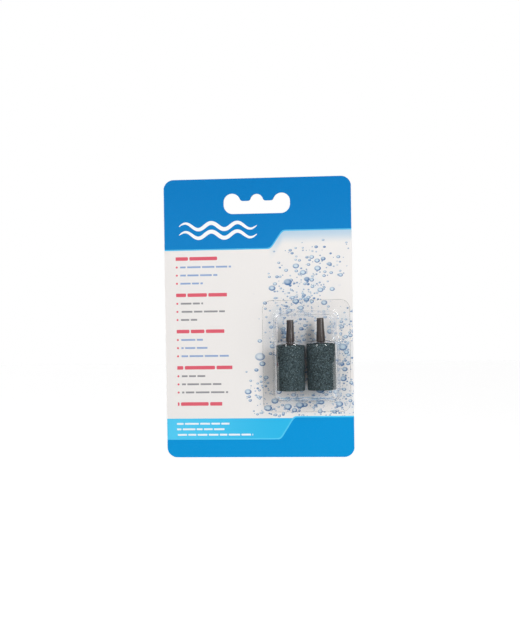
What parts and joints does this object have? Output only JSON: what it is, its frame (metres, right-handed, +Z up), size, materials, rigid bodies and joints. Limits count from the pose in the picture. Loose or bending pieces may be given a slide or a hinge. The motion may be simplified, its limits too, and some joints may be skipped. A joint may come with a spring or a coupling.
{
  "type": "carded air stone pack",
  "caption": "Cylindrical aquarium air stones with stepped tube stems, lying in a clear formed blister on a hang-slot card.",
  "frame": {"origin": "crown of the hang slot's middle lobe, on the back plane of the card, where a single peg carries the pack", "axes": "+Z up as the pack hangs, +X to the right seen from the printed front, the printed front faces -Y"},
  "size_m": [0.1, 0.0168, 0.1484],
  "materials": {
    "printed_board": "satin",
    "clear_film": "gloss",
    "bonded_grit": "matte",
    "stem_plastic": "gloss",
    "adhesive": "satin"
  },
  "bodies": {
    "pack": {"backing_card": "printed_board", "blister_shell": "clear_film"},
    "left_air_stone": {"left_stone": "bonded_grit", "left_stem": "stem_plastic", "left_adhesive_bead": "adhesive"},
    "right_air_stone": {"right_stone": "bonded_grit", "right_stem": "stem_plastic", "right_adhesive_bead": "adhesive"}
  },
  "joints": [
    {"name": "left_stone_slide", "type": "slide", "parent": "pack", "child": "left_air_stone", "axis": [0, 0, 1], "range_m": [-0.00335, 0.00115]},
    {"name": "right_stone_slide", "type": "slide", "parent": "pack", "child": "right_air_stone", "axis": [0, 0, 1], "range_m": [-0.0036, 0.0003]}
  ]
}
